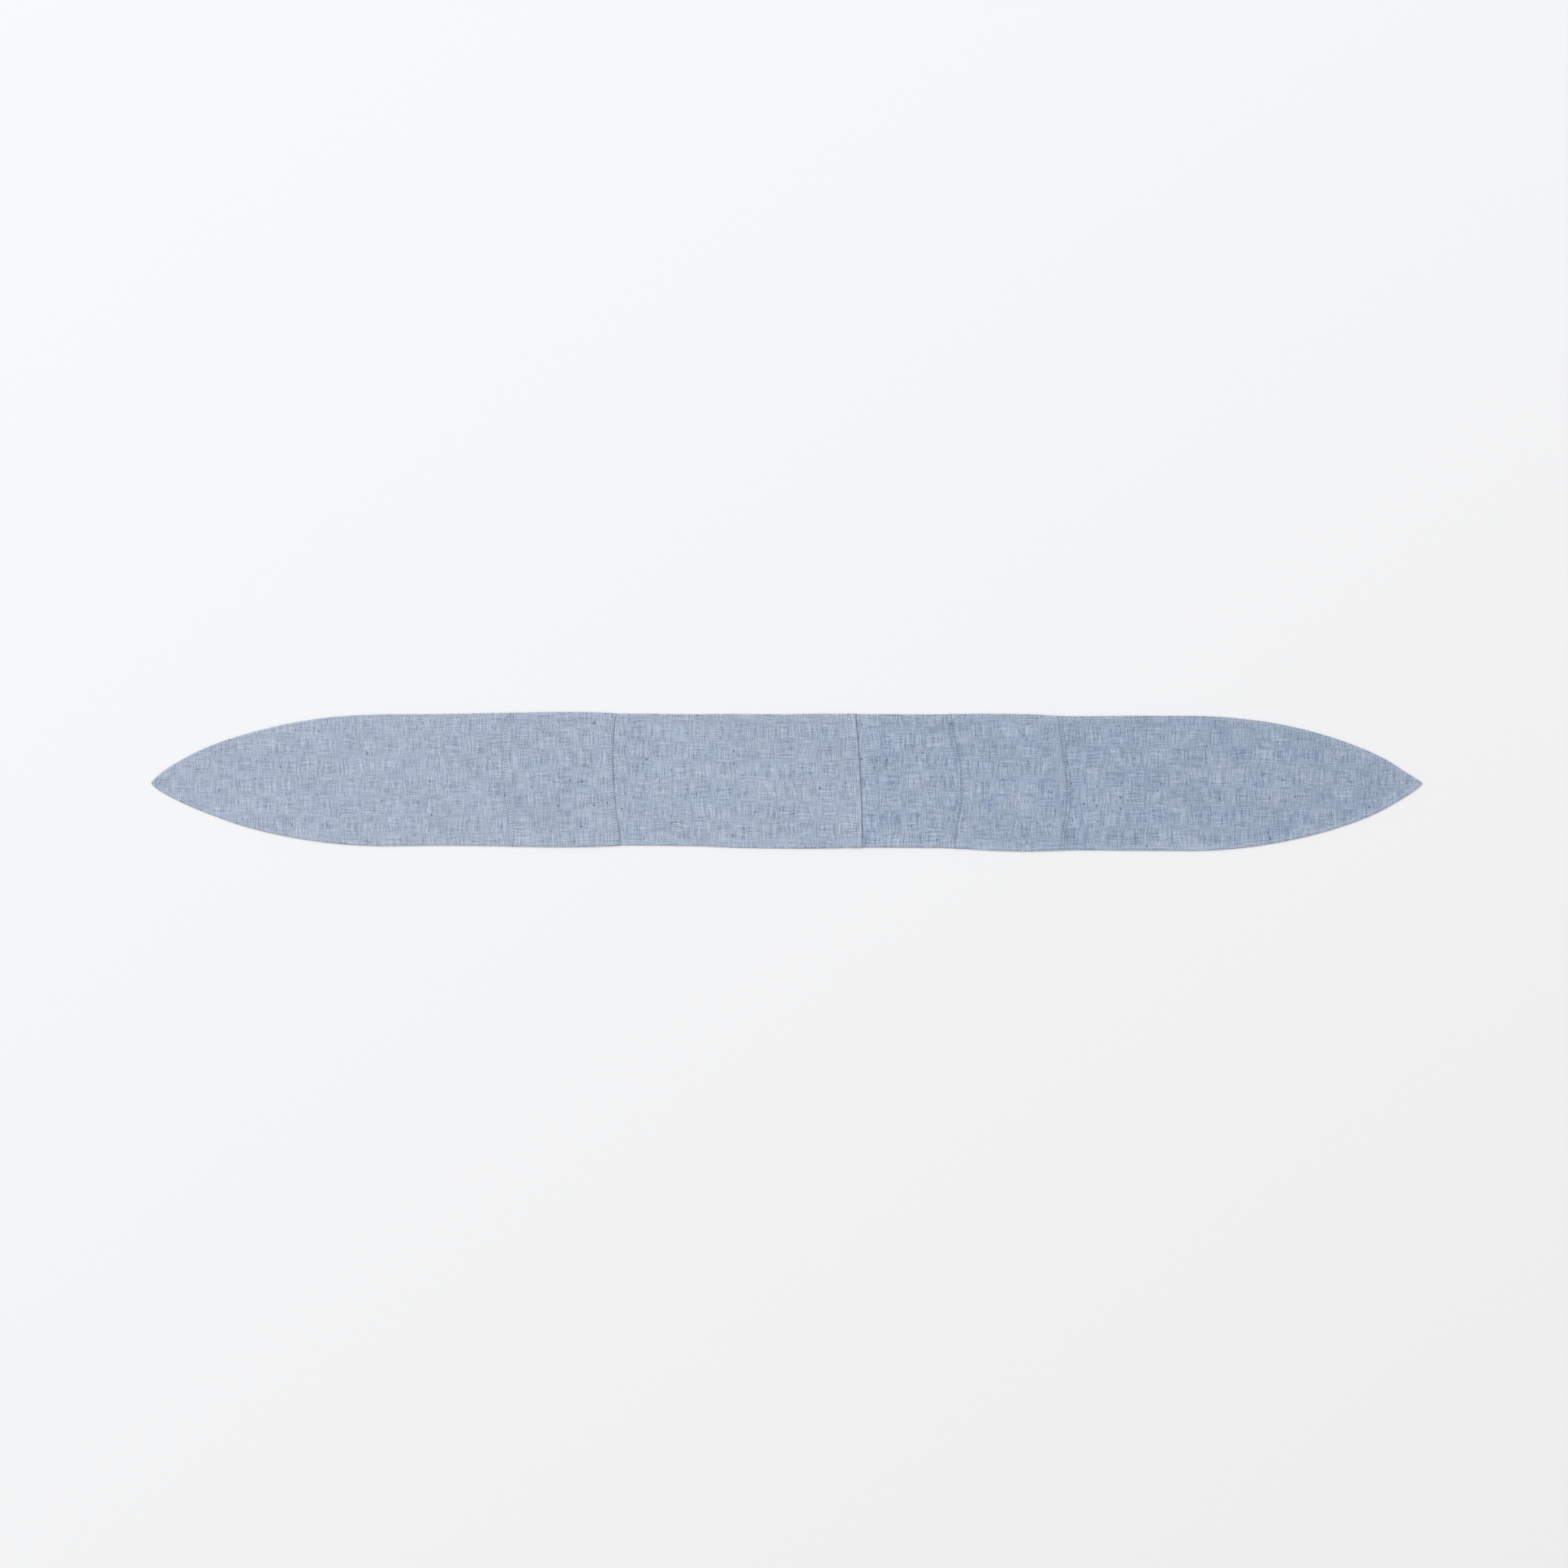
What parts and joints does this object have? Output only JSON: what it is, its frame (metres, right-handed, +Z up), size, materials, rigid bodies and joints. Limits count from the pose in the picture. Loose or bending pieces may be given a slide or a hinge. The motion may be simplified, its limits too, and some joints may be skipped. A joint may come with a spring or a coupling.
{
  "type": "table runner",
  "caption": "Long narrow two-layer chambray runner with pointed ends, topstitched bands across it and an open-mouthed pocket in the middle.",
  "frame": {"origin": "under the middle of the strip's bounding box, on the surface it lies on", "axes": "+X along the strip towards the end beyond the pocket mouth, +Y across it, +Z up out of the stitched face"},
  "size_m": [1.331, 0.1424, 0.0026],
  "materials": {
    "face_cloth": "plain-weave chambray with slubs, matte",
    "band_cloth": "plain-weave chambray with slubs, matte",
    "back_cloth": "plain-weave chambray, matte",
    "seam_thread": "spun thread, soft sheen",
    "edge_thread": "spun thread, soft sheen"
  },
  "bodies": {
    "middle": {"back_middle": "back_cloth", "left_lap": "face_cloth", "left_band_panel": "band_cloth", "centre_panel": "face_cloth", "underlap_panel": "face_cloth", "right_band_panel": "band_cloth", "right_lap": "face_cloth", "seam_thread_1": "seam_thread", "seam_thread_2": "seam_thread", "seam_thread_4": "seam_thread", "seam_thread_5": "seam_thread", "edge_thread_far": "edge_thread", "edge_thread_near": "edge_thread"},
    "left_end": {"back_left": "back_cloth", "left_end_panel": "face_cloth", "edge_thread_left": "edge_thread"},
    "right_end": {"back_right": "back_cloth", "right_end_panel": "face_cloth", "edge_thread_right": "edge_thread"},
    "lip": {"pocket_lip": "face_cloth", "seam_thread_3": "seam_thread"}
  },
  "joints": [
    {"name": "left_end_fold", "type": "hinge", "parent": "middle", "child": "left_end", "pos_m": [-0.3035, 0, 0.0021], "axis": [0, 1, 0], "range_deg": [-90, 175]},
    {"name": "right_end_fold", "type": "hinge", "parent": "middle", "child": "right_end", "pos_m": [0.3015, 0, 0.0021], "axis": [0, -1, 0], "range_deg": [-90, 160]},
    {"name": "pocket_lip_lift", "type": "hinge", "parent": "middle", "child": "lip", "pos_m": [0.045, 0, 0.0015], "axis": [0, -1, 0], "range_deg": [0, 40]}
  ]
}
